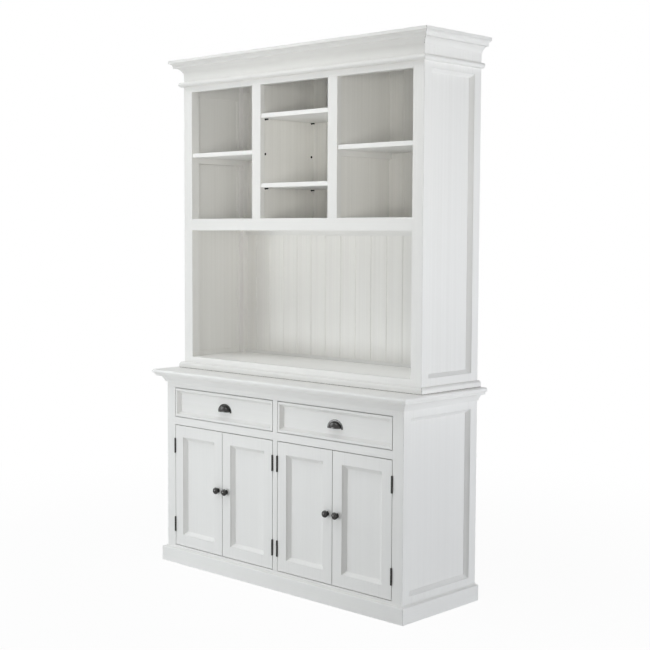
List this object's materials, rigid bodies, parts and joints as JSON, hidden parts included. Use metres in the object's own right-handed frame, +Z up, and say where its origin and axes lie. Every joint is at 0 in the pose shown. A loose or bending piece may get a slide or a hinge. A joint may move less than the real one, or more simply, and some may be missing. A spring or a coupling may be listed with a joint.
{
  "type": "china cabinet",
  "caption": "Tall painted china cabinet: an open hutch with cubbies and a grooved back over a deeper base with drawers, panelled doors, cup pulls and round knobs.",
  "frame": {"origin": "On the floor, under the centre of the whole outline.", "axes": "X points to the right seen from the front, Y points to the back (the front looks along -Y), Z points up."},
  "size_m": [1.45, 0.497, 2.196],
  "materials": {
    "white_paint": "off-white satin paint, brushed on",
    "bare_wood": "clear varnished pine",
    "dark_hardware": "dark pewter, satin",
    "steel": "dull, slightly aged",
    "catch": "matte"
  },
  "bodies": {
    "cabinet": {"base_back_panel": "white_paint", "base_bottom_board": "white_paint", "base_front_rails": "white_paint", "base_middle_stile": "white_paint", "base_partition": "white_paint", "base_shelves": "white_paint", "base_side_frame_left": "white_paint", "base_side_frame_right": "white_paint", "base_side_panels": "white_paint", "base_top": "white_paint", "base_top_moulding": "white_paint", "bead_moulding": "white_paint", "crown_moulding": "white_paint", "door_catches": "catch", "drawer_runners": "bare_wood", "hinge_frame_leaves": "steel", "hinge_pins": "steel", "hutch_back_panel": "white_paint", "hutch_back_rails": "white_paint", "hutch_base_moulding": "white_paint", "hutch_bottom_board": "white_paint", "hutch_bottom_rail": "white_paint", "hutch_deck": "white_paint", "hutch_dividers": "white_paint", "hutch_middle_rail": "white_paint", "hutch_middle_shelves": "white_paint", "hutch_mullions": "white_paint", "hutch_roof": "white_paint", "hutch_side_frame_left": "white_paint", "hutch_side_frame_right": "white_paint", "hutch_side_panels": "white_paint", "hutch_side_shelves": "white_paint", "hutch_top_rail": "white_paint", "plinth_boards": "white_paint", "shelf_cleats": "white_paint", "shelf_pins": "steel"},
    "door_1": {"door_1_frame": "white_paint", "door_1_hinge_leaves": "steel", "door_1_knob": "dark_hardware", "door_1_panel": "white_paint"},
    "door_2": {"door_2_frame": "white_paint", "door_2_hinge_leaves": "steel", "door_2_knob": "dark_hardware", "door_2_panel": "white_paint"},
    "door_3": {"door_3_frame": "white_paint", "door_3_hinge_leaves": "steel", "door_3_knob": "dark_hardware", "door_3_panel": "white_paint"},
    "door_4": {"door_4_frame": "white_paint", "door_4_hinge_leaves": "steel", "door_4_knob": "dark_hardware", "door_4_panel": "white_paint"},
    "drawer_left": {"drawer_left_bottom": "bare_wood", "drawer_left_box": "bare_wood", "drawer_left_front": "white_paint", "drawer_left_pull": "dark_hardware"},
    "drawer_right": {"drawer_right_bottom": "bare_wood", "drawer_right_box": "bare_wood", "drawer_right_front": "white_paint", "drawer_right_pull": "dark_hardware"}
  },
  "joints": [
    {"name": "door_1_hinge", "type": "hinge", "parent": "cabinet", "child": "door_1", "pos_m": [-0.62325, -0.2021, 0.343], "axis": [0, 0, -1], "range_deg": [0, 110]},
    {"name": "door_2_hinge", "type": "hinge", "parent": "cabinet", "child": "door_2", "pos_m": [-0.0139, -0.2021, 0.343], "axis": [0, 0, 1], "range_deg": [0, 85]},
    {"name": "door_3_hinge", "type": "hinge", "parent": "cabinet", "child": "door_3", "pos_m": [0.0139, -0.2021, 0.343], "axis": [0, 0, -1], "range_deg": [0, 85]},
    {"name": "door_4_hinge", "type": "hinge", "parent": "cabinet", "child": "door_4", "pos_m": [0.62325, -0.2021, 0.343], "axis": [0, 0, 1], "range_deg": [0, 110]},
    {"name": "drawer_left_slide", "type": "slide", "parent": "cabinet", "child": "drawer_left", "axis": [0, -1, 0], "range_m": [0, 0.3]},
    {"name": "drawer_right_slide", "type": "slide", "parent": "cabinet", "child": "drawer_right", "axis": [0, -1, 0], "range_m": [0, 0.3]}
  ]
}
